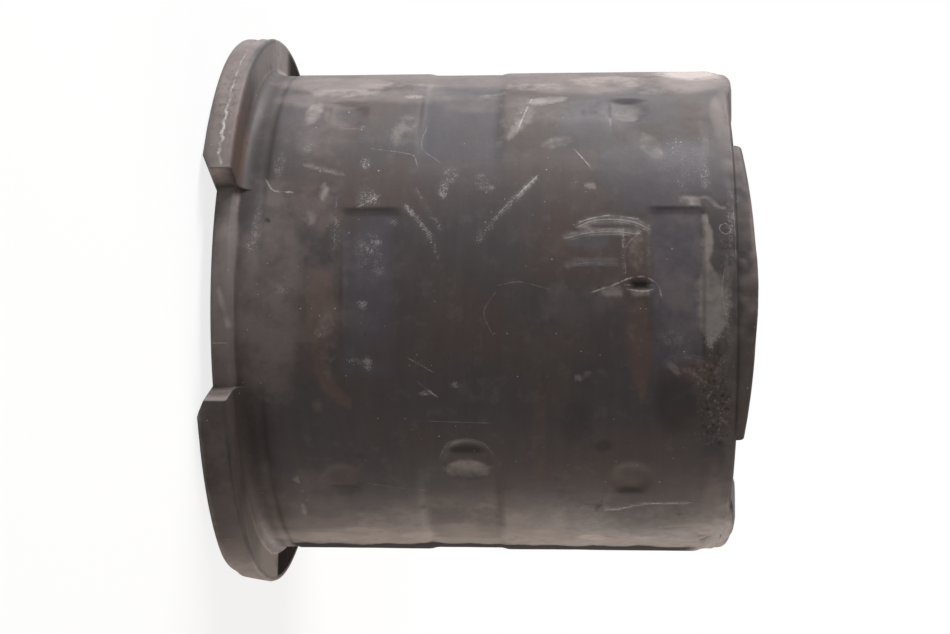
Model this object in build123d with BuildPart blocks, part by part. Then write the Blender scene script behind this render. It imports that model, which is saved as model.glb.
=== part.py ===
from build123d import *
from math import cos, radians, sin, sqrt
import os

# Rubber metal bush of a rear axle carrier. All sizes are in millimetres.
# The bush stands on the pads of its flange lugs: z = 0 is the pads' face, and +Z runs along the
# bolt to the plain end. The two gaps between the flange lugs lie at -Y and +Y, and the middles
# of the lugs at +X and -X.

# ---- driving dimensions ---------------------------------------------------------------------

# lengths along the axis, one after the other from the pads' face
pad_height = 1.25
flange_thickness = 2.7
neck_length = 3.4
body_length = 56.95
stop_height = 2.0

# outside of the moulding
body_radius = 33.0
body_edge_chamfer = 0.4
collar_overhang = 0.45
collar_edge_chamfer = 0.5
collar_back_slope = 0.6
corner_flats = 3

# flange lugs and the raised pads on their front
lug_overhang = 5.0
lug_gap_half_angle = 21.35
lug_back_edge_chamfer = 0.4
lug_root_step = 0.15
lug_root_height = 0.6
pad_setback = 1.0
pad_edge_radius = 1.1
pad_ramp_length = 2.6

# rings of the neck, between the flange and the body
neck_depth = 0.3
neck_groove_width = 0.4
neck_ridge_width = 0.45
neck_step_length = 0.8

# stops on the plain end: a tongue at each lug gap, and a side stop between them
stop_width = 5.4
stop_draft = 0.6
tongue_half_angle = 33.6
tongue_inset = 0.4
tongue_edge_radius = 0.6
tongue_crown_radius = 205.0
side_stop_half_angle = 44.0
side_stop_inset = 0.15
side_stop_edge_radius = 1.6
side_stop_crown_radius = 125.0

# shallow marks that the mould's supports leave in the skin, placed from the body's start;
# their angles are counted from a lug gap
slot_half_angle = 16.9
slot_depth = 0.35
near_slot_position = 9.75
near_slot_width = 6.5
far_slot_position = 46.55
far_slot_width = 6.2
band_start_angle = 29.5
band_position = 18.45
band_width = 9.8
band_depth = 0.4
dimple_angle = 44.1
dimple_radius = 2.2
dimple_depth = 0.45
near_dimple_position = 8.7
far_dimple_position = 44.15
vent_angle = 38.45
vent_position = 24.3
vent_radius = 3.15
vent_depth = 0.6

# inner sleeve, with its bore for the bolt
bore_radius = 7.25
bore_chamfer = 1.0
sleeve_wall = 6.25
sleeve_rim_chamfer = 0.6
sleeve_proud = 0.7

# rubber between the sleeves: lips on the inner sleeve, dished ends, two curved voids
lip_width = 2.2
lip_drop = 0.8
dish_depth = 4.5
dish_slope = 1.4
void_gap = 2.6
void_lining = 3.1
void_half_angle = 46.0
void_corner_share = 0.43

# reinforcing sleeve inside the rubber
skin_thickness = 2.6
cage_wall = 2.0
cage_end_cover = 2.2

# ---- places worked out from them ------------------------------------------------------------

flange_front = pad_height
flange_back = flange_front + flange_thickness
body_start = flange_back + neck_length
body_end = body_start + body_length
stop_top = body_end + stop_height
lug_half_angle = 90 - lug_gap_half_angle

collar_radius = body_radius + collar_overhang
lug_radius = body_radius + lug_overhang
lug_root_radius = body_radius + lug_root_step
stop_inner_radius = body_radius - stop_width
pad_inner_radius = stop_inner_radius + pad_setback

neck_radius = body_radius - neck_depth
ridge_start = flange_back + neck_groove_width
ridge_end = ridge_start + neck_ridge_width
step_start = body_start - neck_step_length

sleeve_radius = bore_radius + sleeve_wall
sleeve_length = stop_top + sleeve_proud
lip_radius = sleeve_radius + lip_width
cage_radius = body_radius - skin_thickness
cage_start = body_start + cage_end_cover
cage_length = body_length - 2 * cage_end_cover
void_inner_radius = lip_radius + void_gap
void_outer_radius = cage_radius - cage_wall - void_lining
void_corner_radius = void_corner_share * (void_outer_radius - void_inner_radius)

gap_directions = (-90, 90)
lug_directions = (0, 180)
vent_direction = gap_directions[0] + vent_angle


# ---- helpers --------------------------------------------------------------------------------


def rounded_corner(centre_radius, centre_height, radius, start_angle):
    """Points of a quarter round in a turned section, as a few flats to keep the mesh light."""
    points = []
    for step in range(corner_flats + 1):
        angle = radians(start_angle + 90 * step / corner_flats)
        points.append((centre_radius + radius * cos(angle), centre_height + radius * sin(angle)))
    return points


def radial_plane(direction):
    """Plane through the axis: x runs outwards at this angle from +X, and y runs along +Z."""
    return Plane.XZ.rotated((0, 0, direction))


def outward_plane(direction, distance):
    """Plane across that radius, facing outwards: x runs round the axis, and y runs along +Z."""
    outwards = radial_plane(direction).x_dir
    return Plane(origin=outwards * distance, x_dir=radial_plane(direction + 90).x_dir, z_dir=outwards)


def ring_sector(height, inner_radius, outer_radius, direction, half_angle):
    """Sector of a flat ring at this height, reaching this far to both sides of a direction."""
    with BuildSketch(Plane.XY.offset(height)) as sector:
        with BuildLine():
            inner = CenterArc((0, 0), inner_radius, direction - half_angle, 2 * half_angle)
            outer = CenterArc((0, 0), outer_radius, direction - half_angle, 2 * half_angle)
            Line(inner @ 0, outer @ 0)
            Line(inner @ 1, outer @ 1)
        make_face()
    return sector


def lug_section(plane):
    """Section of a lug with its pad: well rounded in front, with a low step at the root behind."""
    with BuildSketch(plane) as section:
        with BuildLine():
            Polyline(
                *rounded_corner(lug_radius - pad_edge_radius, pad_edge_radius, pad_edge_radius, -90),
                (lug_radius, flange_back - lug_back_edge_chamfer),
                (lug_radius - lug_back_edge_chamfer, flange_back),
                (lug_root_radius, flange_back),
                (lug_root_radius, flange_back + lug_root_height),
                (pad_inner_radius, flange_back + lug_root_height),
                (pad_inner_radius, 0),
                close=True)
        make_face()
    return section


def stop_section(plane, outer_radius, edge_radius):
    """Section of a stop on the plain end, from just inside the body to its rounded outer edge."""
    with BuildSketch(plane) as section:
        with BuildLine():
            Polyline(
                (outer_radius, body_end - body_edge_chamfer),
                *rounded_corner(outer_radius - edge_radius, stop_top - edge_radius, edge_radius, 0),
                (stop_inner_radius + stop_draft, stop_top),
                (stop_inner_radius, body_end),
                (stop_inner_radius, body_end - body_edge_chamfer),
                close=True)
        make_face()
    return section


def crown_stop(direction, half_angle, crown_radius):
    """Round a stop's top along its length, highest in its middle."""
    nearest = stop_inner_radius * cos(radians(half_angle))
    half_width = body_radius * sin(radians(half_angle))
    drop = crown_radius - sqrt(crown_radius**2 - half_width**2)
    with BuildSketch(outward_plane(direction, nearest)) as waste:
        with BuildLine():
            crown = ThreePointArc((-half_width, stop_top - drop), (0, stop_top),
                                  (half_width, stop_top - drop))
            Polyline(crown @ 1, (half_width, sleeve_length), (-half_width, sleeve_length), crown @ 0)
        make_face()
    extrude(waste.sketch, amount=body_radius, mode=Mode.SUBTRACT)


def cut_pad_ramp(end_direction, inwards):
    """Slope a pad down to the lug's end; inwards is +1 or -1, the way round to the lug's middle."""
    with BuildSketch(outward_plane(end_direction, pad_inner_radius - pad_height)) as waste:
        with BuildLine():
            Polyline((inwards * pad_ramp_length, 0), (0, pad_height), (-inwards * pad_height, pad_height),
                     (-inwards * pad_height, -pad_height), (inwards * pad_ramp_length, -pad_height),
                     close=True)
        make_face()
    extrude(waste.sketch, amount=lug_radius, mode=Mode.SUBTRACT)


def cut_pocket(direction, half_angle, position, width, depth):
    """Cut a pocket that follows the skin round, its place counted from the body's start."""
    floor = ring_sector(body_start + position, body_radius - depth, lug_radius, direction, half_angle)
    extrude(floor.sketch, amount=width, mode=Mode.SUBTRACT)


def cut_dent(direction, position, radius, depth):
    """Press a ball into the skin so that its mark has this radius and depth."""
    ball_radius = (radius**2 + depth**2) / (2 * depth)
    above_skin = outward_plane(direction, body_radius + ball_radius - depth)
    with Locations(above_skin.from_local_coords((0, body_start + position, 0))):
        Sphere(ball_radius, mode=Mode.SUBTRACT)


# ---- inner sleeve: turned tube, clamped by the bolt -----------------------------------------

with BuildPart() as inner_sleeve:
    with BuildSketch():
        Circle(sleeve_radius)
    extrude(amount=sleeve_length)
    chamfer(inner_sleeve.edges().filter_by(GeomType.CIRCLE), sleeve_rim_chamfer)
    with BuildSketch():
        Circle(bore_radius)
    extrude(amount=sleeve_length, mode=Mode.SUBTRACT)
    mouths = inner_sleeve.edges(Select.LAST).filter_by(GeomType.CIRCLE)
    chamfer(mouths, bore_chamfer)

# ---- reinforcing sleeve: plain tube moulded into the rubber ---------------------------------

with BuildPart() as outer_sleeve:
    with BuildSketch(Plane.XY.offset(cage_start)):
        Circle(cage_radius)
        Circle(cage_radius - cage_wall, mode=Mode.SUBTRACT)
    extrude(amount=cage_length)

# ---- rubber body: one moulding --------------------------------------------------------------

with BuildPart() as rubber_body:

    # turned form: collar, ringed neck and body outside, dished ends and the seat of the
    # inner sleeve inside
    with BuildSketch(Plane.XZ):
        with BuildLine():
            Polyline(
                (collar_radius - collar_edge_chamfer, flange_front),
                (collar_radius, flange_front + collar_edge_chamfer),
                (collar_radius, flange_back - collar_back_slope),
                (neck_radius, flange_back),
                (neck_radius, ridge_start),
                (body_radius, ridge_start),
                (body_radius, ridge_end),
                (neck_radius, ridge_end + neck_groove_width / 2),
                (body_radius, ridge_end + neck_groove_width),
                (body_radius, step_start),
                (neck_radius, step_start + neck_groove_width),
                (body_radius, body_start),
                (body_radius, body_end - body_edge_chamfer),
                (body_radius - body_edge_chamfer, body_end),
                (stop_inner_radius, body_end),
                (stop_inner_radius - dish_slope, body_end - dish_depth),
                (lip_radius + dish_slope, body_end - dish_depth),
                (lip_radius, body_end - lip_drop),
                (sleeve_radius, body_end - lip_drop),
                (sleeve_radius, flange_front + lip_drop),
                (lip_radius, flange_front + lip_drop),
                (lip_radius + dish_slope, flange_front + dish_depth),
                (stop_inner_radius - dish_slope, flange_front + dish_depth),
                (stop_inner_radius, flange_front),
                close=True)
        make_face()
    revolve(axis=Axis.Z)

    # flange lugs, each with a raised pad that slopes down at both ends
    for direction in lug_directions:
        section = lug_section(radial_plane(direction - lug_half_angle))
        revolve(section.sketch, axis=Axis.Z, revolution_arc=2 * lug_half_angle)
        cut_pad_ramp(direction - lug_half_angle, 1)
        cut_pad_ramp(direction + lug_half_angle, -1)

    # crowned stops on the plain end
    for direction in gap_directions:
        section = stop_section(radial_plane(direction - tongue_half_angle),
                               body_radius - tongue_inset, tongue_edge_radius)
        revolve(section.sketch, axis=Axis.Z, revolution_arc=2 * tongue_half_angle)
        crown_stop(direction, tongue_half_angle, tongue_crown_radius)
    for direction in lug_directions:
        section = stop_section(radial_plane(direction - side_stop_half_angle),
                               body_radius - side_stop_inset, side_stop_edge_radius)
        revolve(section.sketch, axis=Axis.Z, revolution_arc=2 * side_stop_half_angle)
        crown_stop(direction, side_stop_half_angle, side_stop_crown_radius)

    # curved voids through the rubber, on the soft side of the bush
    for direction in gap_directions:
        with BuildSketch() as void:
            add(ring_sector(0, void_inner_radius, void_outer_radius, direction, void_half_angle).sketch)
            fillet(void.vertices(), void_corner_radius)
        extrude(amount=stop_top, mode=Mode.SUBTRACT)

    # marks of the mould's supports in the skin
    for direction in gap_directions:
        cut_pocket(direction, slot_half_angle, near_slot_position, near_slot_width, slot_depth)
        cut_pocket(direction, slot_half_angle, far_slot_position, far_slot_width, slot_depth)
        for position in (near_dimple_position, far_dimple_position):
            cut_dent(direction - dimple_angle, position, dimple_radius, dimple_depth)
            cut_dent(direction + dimple_angle, position, dimple_radius, dimple_depth)
    for direction in lug_directions:
        cut_pocket(direction, 90 - band_start_angle, band_position, band_width, band_depth)
    cut_dent(vent_direction, vent_position, vent_radius, vent_depth)

    # room for the reinforcing sleeve
    add(outer_sleeve.part, mode=Mode.SUBTRACT)

# ---- labels and files -----------------------------------------------------------------------

inner_sleeve.part.label = "inner_sleeve"
outer_sleeve.part.label = "outer_sleeve"
rubber_body.part.label = "rubber_body"

os.makedirs("parts", exist_ok=True)
export_step(inner_sleeve.part, "parts/inner_sleeve.step")
export_step(outer_sleeve.part, "parts/outer_sleeve.step")
export_step(rubber_body.part, "parts/rubber_body.step")
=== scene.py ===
"""Looks of a worn rubber metal bush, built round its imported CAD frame.

Sizes and heights of the rubber and its wear are in mm and angles in degrees; MM turns them into the metres
of the frame, the floor and the lights.
"""

import functools
import math

import bpy
import numpy as np
from mathutils import Matrix, Vector


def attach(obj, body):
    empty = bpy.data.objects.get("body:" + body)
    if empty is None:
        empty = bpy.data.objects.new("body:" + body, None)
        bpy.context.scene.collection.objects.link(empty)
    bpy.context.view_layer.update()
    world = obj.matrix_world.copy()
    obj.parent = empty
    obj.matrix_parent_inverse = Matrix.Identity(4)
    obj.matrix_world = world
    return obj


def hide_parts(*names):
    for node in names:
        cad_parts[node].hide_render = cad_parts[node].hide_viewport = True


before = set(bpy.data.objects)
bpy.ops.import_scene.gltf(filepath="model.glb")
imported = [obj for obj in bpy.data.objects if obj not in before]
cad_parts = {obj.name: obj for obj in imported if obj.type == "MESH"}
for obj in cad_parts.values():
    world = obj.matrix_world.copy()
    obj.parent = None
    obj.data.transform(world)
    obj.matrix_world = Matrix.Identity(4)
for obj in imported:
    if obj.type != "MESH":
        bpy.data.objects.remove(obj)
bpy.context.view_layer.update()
scene = bpy.context.scene

MM = 0.001

# ---- sizes repeated from the part's source ----

BODY = 33.0
BODY_START, BODY_END = 7.35, 64.3
FLANGE_FRONT, FLANGE_BACK = 1.25, 3.95
COLLAR, COLLAR_EDGE, LUG = 33.45, 0.5, 38.0
GAP_FROM, GAP_TO = -21.85, 20.95  # where the lugs end, from the middle of each gap
PAD_INNER, PAD_RAMP = 28.52, 2.6
STOP_IN, STOP_DRAFT = 27.6, 0.6
TONGUE_HALF, TONGUE_INSET, TONGUE_EDGE, TONGUE_CROWN, TONGUE_HEIGHT = 33.6, 0.4, 0.6, 150.0, 2.14
SIDE_HALF, SIDE_INSET, SIDE_EDGE, SIDE_CROWN, SIDE_HEIGHT = 44.0, 0.15, 1.6, 125.0, 2.0
SLEEVE, LIP = 13.5, 15.7
DISH, SLOPE, DROP = 4.5, 1.4, 0.8
VOID_IN, VOID_OUT, VOID_HALF, VOID_CORNER = 18.3, 25.3, 46.0, 3.01

# the camera stands in this direction from the axis; turns round the skin are counted from it
VIEW_DIRECTION = -85.2


# ---- small tools ----


def smooth(a, b, x):
    t = np.clip((x - a) / (b - a), 0.0, 1.0)
    return t * t * (3 - 2 * t)


def lerp(a, b, t):
    return a + (b - a) * t


def most(*fields):
    """The strongest of several fields at each point."""
    return functools.reduce(np.maximum, fields)


def lattice(ix, iy, iz, seed):
    """Repeatable value from 0 to 1 for each whole-number place; the large factors only scramble its bits."""
    h = (ix * 374761393 + iy * 668265263 + iz * 2147483647 + seed * 974634777).astype(np.uint64)
    h = (h ^ (h >> np.uint64(13))) * np.uint64(1274126177)
    h = h ^ (h >> np.uint64(16))
    return (h & np.uint64(0xFFFFFF)).astype(float) / 0xFFFFFF


def noise(p, size, seed, octaves=3):
    """Soft noise from -1 to 1 at points p, with lumps of about this size."""
    total = np.zeros(len(p))
    weight, norm = 1.0, 0.0
    for k in range(octaves):
        q = p / size * 2.0**k + 1000.0
        i = np.floor(q).astype(np.int64)
        f = q - i
        f = f * f * (3 - 2 * f)
        value = np.zeros(len(p))
        for corner in np.ndindex(2, 2, 2):
            x, y, z = (f[:, n] if far else 1 - f[:, n] for n, far in enumerate(corner))
            value += x * y * z * lattice(*(i + corner).T, seed + k)
        total += weight * (2 * value - 1)
        norm += weight
        weight *= 0.5
    return total / norm


def angle_from(th, direction):
    return (th - direction + 180.0) % 360.0 - 180.0


def from_nearer(th, direction):
    """Angle from this direction or from the one opposite to it, whichever is nearer."""
    turn = angle_from(th, direction)
    return np.where(np.abs(turn) < 90, turn, angle_from(th, direction + 180))


# ---- columns of the rubber's mesh ----

SEEN_START, SEEN_END = -178.0, 8.0  # the skin that faces the camera has the closest columns
SEEN_STEP, FAR_STEP = 0.8, 2.6
# share of a lug or tongue at each column of its end wall, and how far round its last columns lean
SEEN_SHARES, FAR_SHARES = (0.03, 0.1, 0.28, 0.5, 0.72, 0.88, 0.96), (0.1, 0.5, 0.88)
LEAN = {0.88: 0.04, 0.96: 0.11, 1.0: 0.24}


def make_columns():
    """Angle of each column, and how much lug and tongue it has, from 0 to 1."""
    reaches = (GAP_FROM, GAP_TO, -TONGUE_HALF, TONGUE_HALF, -VOID_HALF, VOID_HALF)
    marks = {(gap + reach - SEEN_START) % 360 + SEEN_START for gap in (-90, 90) for reach in reaches}
    stops = [SEEN_START, *sorted(marks | {SEEN_END}), SEEN_START + 360]
    columns, was = [], None
    for a, b in zip(stops, stops[1:]):
        gap = from_nearer((a + b) / 2, -90)
        here = (float(not GAP_FROM < gap < GAP_TO), float(abs(gap) < TONGUE_HALF))
        seen = a < SEEN_END
        step, shares = (SEEN_STEP, SEEN_SHARES) if seen else (FAR_STEP, FAR_SHARES)
        angles = list(np.linspace(a, b, max(2, round((b - a) / step)) + 1))
        if not seen:
            angles = sorted({*angles, *(t for t in (a + 0.6, a + 1.6, b - 0.6, b - 1.6) if a < t < b)})
        if was == here:
            angles = angles[1:]
        elif was:
            rising = sum(here) > sum(was)
            if rising:
                angles[0] += LEAN[1.0]
            else:
                columns[-1] = (columns[-1][0] - LEAN[1.0], *was)
            for share in shares if rising else reversed(shares):
                lean = LEAN.get(share, 0.0) * (1 if rising else -1)
                columns.append((a + lean, *(now if now == old else share for now, old in zip(here, was))))
        columns += [(t, *here) for t in angles]
        was = here
    return [np.array(values) for values in zip(*columns[:-1])]


# ---- rows: the section of the rubber at every column ----

SKIN_END, SKIN_ROWS = 63.6, 131
TONGUE_SWELL = 0.16  # low swell in the middle of a tongue
SIDE_WEAR = 1.3  # how much the side stop's low half is worn back
LUG_WEAR, LUG_BACK_WEAR = 0.8, 0.3  # loss at the front and back edges of the low lug
COLLAR_BACK = 3.2


def crown(rho, turn, radius):
    """How far a crowned top has dropped at this radius and turn from its middle."""
    return radius - np.sqrt(radius**2 - (rho * np.sin(np.radians(turn))) ** 2)


class Section:
    """The rubber's closed section at every column, put down row by row from the skin's low end."""

    def __init__(self, th, lug, tongue):
        self.th, self.lug, self.tongue = th, lug, tongue
        self.gap_turn, self.side_turn = from_nearer(th, -90), from_nearer(th, 0)
        self.is_tongue = np.abs(self.gap_turn) < TONGUE_HALF + 1
        self.rows, self.names = [], []
        for z in np.linspace(BODY_START + 0.12, SKIN_END, SKIN_ROWS):
            self.put(BODY, z, "skin")
        self.plain_end()
        self.dish(BODY_END, 1)
        self.put(SLEEVE - 0.03, 50.0, "seat")
        self.put(SLEEVE - 0.03, 15.0, "seat")
        self.dish(FLANGE_FRONT, -1)
        self.flange()
        for rho, z in ((32.92, 5.6), (32.93, 6.0), (32.91, 6.3), (32.88, 6.58), (32.855, 6.86), (32.89, 7.14),
                       (32.96, 7.36)):
            self.put(rho, z, "neck")

    def put(self, rho, z, name):
        self.rows.append((rho + 0 * self.th, z + 0 * self.th))
        self.names.append(name)

    def grid(self):
        """Radius and height, each as columns by rows, and the rows' names."""
        return *(np.array(values).T for values in zip(*self.rows)), np.array(self.names)

    def stop_height(self, rho):
        """How far a tongue or a side stop stands out of the plain end at this radius."""
        tongue = TONGUE_HEIGHT - crown(rho, self.gap_turn, TONGUE_CROWN)
        tongue = tongue + TONGUE_SWELL * smooth(11, 3, np.abs(self.gap_turn))
        side = np.clip(SIDE_HEIGHT - crown(rho, self.side_turn, SIDE_CROWN), 0, None)
        side = np.where(np.abs(self.side_turn) < SIDE_HALF + 1.5, side, 0.0)
        return np.where(self.is_tongue, tongue * self.tongue, side)

    def plain_end(self):
        """Rim of the plain end, with the walls, edges and tops of its stops."""
        turn = angle_from(self.th, 0)
        low_side = smooth(-31, -17, turn) * smooth(5, -5, turn)
        inset = np.where(self.is_tongue, TONGUE_INSET, SIDE_INSET + SIDE_WEAR * low_side)
        h = self.stop_height(BODY)
        stop = smooth(0.0, 0.6, h)             # 1 where a stop stands, 0 where the rim is plain
        wall = BODY - inset
        edge = np.minimum(np.where(self.is_tongue, TONGUE_EDGE, SIDE_EDGE), 0.9 * np.maximum(h, 0.05))
        rim = BODY_END + 0.03
        for rho, z in ((BODY, 63.76), (BODY, 63.92), (BODY - 0.07, 64.05)):
            self.put(rho, z, "rim")
        self.put(lerp(BODY - 0.22, BODY - 0.75 * inset, stop), 64.2, "rim")
        self.put(lerp(BODY - 0.4, wall, stop), 64.32, "rim")
        for k in range(1, 5):
            z = lerp(64.32, BODY_END + h - edge, k / 4)
            self.put(lerp(32.6 - 0.13 * k, wall, stop), lerp(rim, z, stop), "rim")
        for k in range(1, 7):
            a = math.radians(90 * k / 6)
            rho, z = wall - edge + edge * math.cos(a), BODY_END + h - edge + edge * math.sin(a)
            self.put(lerp(32.05 - 0.12 * k, rho, stop), lerp(rim, z, stop), "rim")
        for k in range(1, 5):
            rho = lerp(lerp(31.3, wall - edge, stop), 28.35, k / 4)
            self.put(rho, BODY_END + lerp(0.02 * (1 - k / 4), self.stop_height(rho), stop), "top")
        inner = self.stop_height(STOP_IN)
        self.put(lerp(28.1, STOP_IN + STOP_DRAFT - 0.02, stop), BODY_END + stop * (inner - 0.12), "top")
        self.put(lerp(27.85, STOP_IN + 0.4, stop), BODY_END + stop * inner * 0.55, "top")
        self.put(STOP_IN + 0.04, BODY_END - 0.03, "top")

    def dish(self, mouth, way):
        """One dished end: from its mouth to the sleeve with way 1, the other way round with way -1."""
        from_end = (VOID_HALF - np.abs(self.gap_turn)) * math.radians(1) * (VOID_IN + VOID_OUT) / 2
        short = np.clip(VOID_CORNER - from_end, 0, VOID_CORNER)
        corner = VOID_CORNER - np.sqrt(np.clip(VOID_CORNER**2 - short**2, 0, None))
        top, foot = STOP_IN - SLOPE, LIP + SLOPE
        # radius, depth below the mouth, name
        steps = [(STOP_IN - SLOPE * k / 3.6, DISH * k / 3.6, "dish") for k in (1, 2, 3)]
        steps += [(top + 0.02, DISH - 0.18, "dish"), (top - 0.22, DISH, "dish"),
                  (VOID_OUT - corner, DISH, "void_out"), (VOID_IN + corner, DISH, "void_in"),
                  (foot + 0.3, DISH, "dish"), (foot - 0.03, DISH - 0.25, "dish")]
        steps += [(LIP + SLOPE * (1 - k / 2.3), lerp(DISH, DROP, k / 2.3), "dish") for k in (1, 2)]
        steps += [(LIP - 0.05, DROP + 0.03, "dish"), (LIP - 0.35, DROP - 0.03, "dish"),
                  (SLEEVE + 0.5, DROP, "dish"), (SLEEVE + 0.12, DROP - 0.06, "dish"),
                  (SLEEVE - 0.02, DROP - 0.2, "dish")]
        for rho, depth, name in steps[::way]:
            self.put(rho, mouth - way * depth, name)

    def flange(self):
        """Front, edges and back of the flange: a pad and lug, or the collar in a gap."""
        turn = angle_from(self.th, 0)
        past_end = np.where(self.gap_turn < 0, GAP_FROM - self.gap_turn, self.gap_turn - GAP_TO)
        upper = smooth(-5, 5, np.abs(turn) - 90)
        worn = smooth(-30, -14, turn) * smooth(40, 20, turn)
        front_round = lerp(1.35, lerp(0.3, 0.7, upper), smooth(0, 40, past_end))
        back_round = lerp(0.55, 0.35, smooth(20, 45, past_end))
        front_rho, back_rho = LUG - LUG_WEAR * worn, LUG - LUG_BACK_WEAR * worn
        back = FLANGE_BACK + 0.15 * (2 * upper - 1) * smooth(25, 50, past_end)
        ramp = np.sin(np.radians(np.clip(past_end, 0, 30))) / PAD_RAMP

        def put(rho, z, gap_rho, gap_z, name):
            """A row at this place on a lug, with the ramp of the pad's ends, and at another in a gap."""
            z = np.maximum(z, np.clip(FLANGE_FRONT * (1 - rho * ramp), 0, FLANGE_FRONT))
            self.put(lerp(gap_rho, rho, self.lug), lerp(gap_z, z, self.lug), name)

        self.put(STOP_IN + 0.03, FLANGE_FRONT + 0.1, "face")
        self.put(STOP_IN + 0.18, FLANGE_FRONT, "face")
        self.put(PAD_INNER, FLANGE_FRONT, "face")
        put(28.62, 0.2, 28.7, FLANGE_FRONT, "face")
        put(28.82, 0.0, 28.9, FLANGE_FRONT, "face")
        low_in = COLLAR - COLLAR_EDGE
        for k in range(1, 6):
            rho = lerp(28.82, front_rho - front_round, k / 5)
            put(rho, 0.0, lerp(28.9, low_in, k / 5), FLANGE_FRONT, "face")
        for k in range(1, 9):
            s, c = math.sin(math.radians(90 * k / 8)), math.cos(math.radians(90 * k / 8))
            put(front_rho - front_round * (1 - s), front_round * (1 - c),
                low_in + COLLAR_EDGE * s, FLANGE_FRONT + COLLAR_EDGE * (1 - c), "front_edge")
        for k in range(1, 8):
            put(lerp(front_rho, back_rho, k / 7), lerp(front_round, back - back_round, k / 7),
                COLLAR, lerp(FLANGE_FRONT + COLLAR_EDGE, COLLAR_BACK, k / 7), "lug_face")
        for k in range(1, 5):
            s, c = math.sin(math.radians(90 * k / 4)), math.cos(math.radians(90 * k / 4))
            put(back_rho - back_round * (1 - c), back - back_round * (1 - s),
                COLLAR - 0.1 * (k / 4) ** 2, lerp(COLLAR_BACK, 3.45, k / 4), "back_edge")
        for k in range(1, 10):
            put(lerp(back_rho - back_round, 34.0, k / 9), back,
                lerp(COLLAR - 0.1, 32.9, k / 9), lerp(3.45, 3.93, k / 9), "back_face")
        for place in ((33.65, 4.12, 32.86, 4.0), (33.38, 4.3, 32.84, 4.15), (33.18, 4.56, 32.84, 4.35),
                      (33.05, 4.9, 32.86, 4.6), (32.97, 5.2, 32.9, 5.0)):
            put(*place, "neck")


# ---- moulded marks on the skin, by turn from the camera's side and height ----

ARC = BODY * math.radians(1)  # mm of skin in one degree
# turn from and to, height from and to
SLOTS = ((-12.5, 21.3, 17.1, 23.6), (-14.3, 21.4, 53.9, 60.1))
BAND = (-54.0, 54.0, 25.8, 35.6)
# turn, height, depth
DIMPLES = ((-39.6, 16.05, 0.18), (-38.6, 51.9, 0.18), (49.4, 16.05, 0.24), (49.4, 51.5, 0.24))
SLOT_DEPTH, BAND_DEPTH = 0.26, 0.22
VENT, VENT_DEPTH = (-33.65, 31.75), 0.42
RING, RING_RADIUS, RING_DEPTH = (-0.95, 37.95), 3.8, 0.03


def away_from(turn, z, middle, height):
    """Distance over the skin from one place."""
    return np.hypot((turn - middle) * ARC, z - height)


def pocket(turn, z, low, high, start, end, depth, soft, low_soft):
    """Depth of a pocket between two turns and two heights, with sloping walls of these widths."""
    sides = smooth(-low_soft / 2, low_soft / 2, (turn - low) * ARC)
    sides = sides * smooth(-soft / 2, soft / 2, (high - turn) * ARC)
    return depth * sides * (smooth(-0.55, 0.55, z - start) * smooth(-0.55, 0.55, end - z))


def skin_depth(turn, z):
    """How far the skin lies below its full radius."""
    d = np.zeros_like(turn)
    for half in (0.0, 180.0):
        t = angle_from(turn, half)
        shallow = lerp(0.4, 1.0, smooth(-16, 14, t))
        for slot in SLOTS:
            d += shallow * pocket(t, z, *slot, SLOT_DEPTH, 0.4, 0.9)
        for middle, height, deep in DIMPLES:
            d += deep * smooth(2.95, 1.5, away_from(t, z, middle, height))
    for side in (90.0, -90.0):
        d += pocket(angle_from(turn, side), z, *BAND, BAND_DEPTH, 6.0, 6.0)
    d += VENT_DEPTH * smooth(3.2, 2.3, away_from(turn, z, *VENT))
    return d + RING_DEPTH * smooth(0.45, 0.0, np.abs(away_from(turn, z, *RING) - RING_RADIUS))


# ---- wear, dirt, painted light and painted shade on the skin ----
# A patch is (turn, height, half size round the skin, half size along it, strength, and its lean if it has
# one); a stroke is (width, strength, then turn and height of each of its points).

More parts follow.
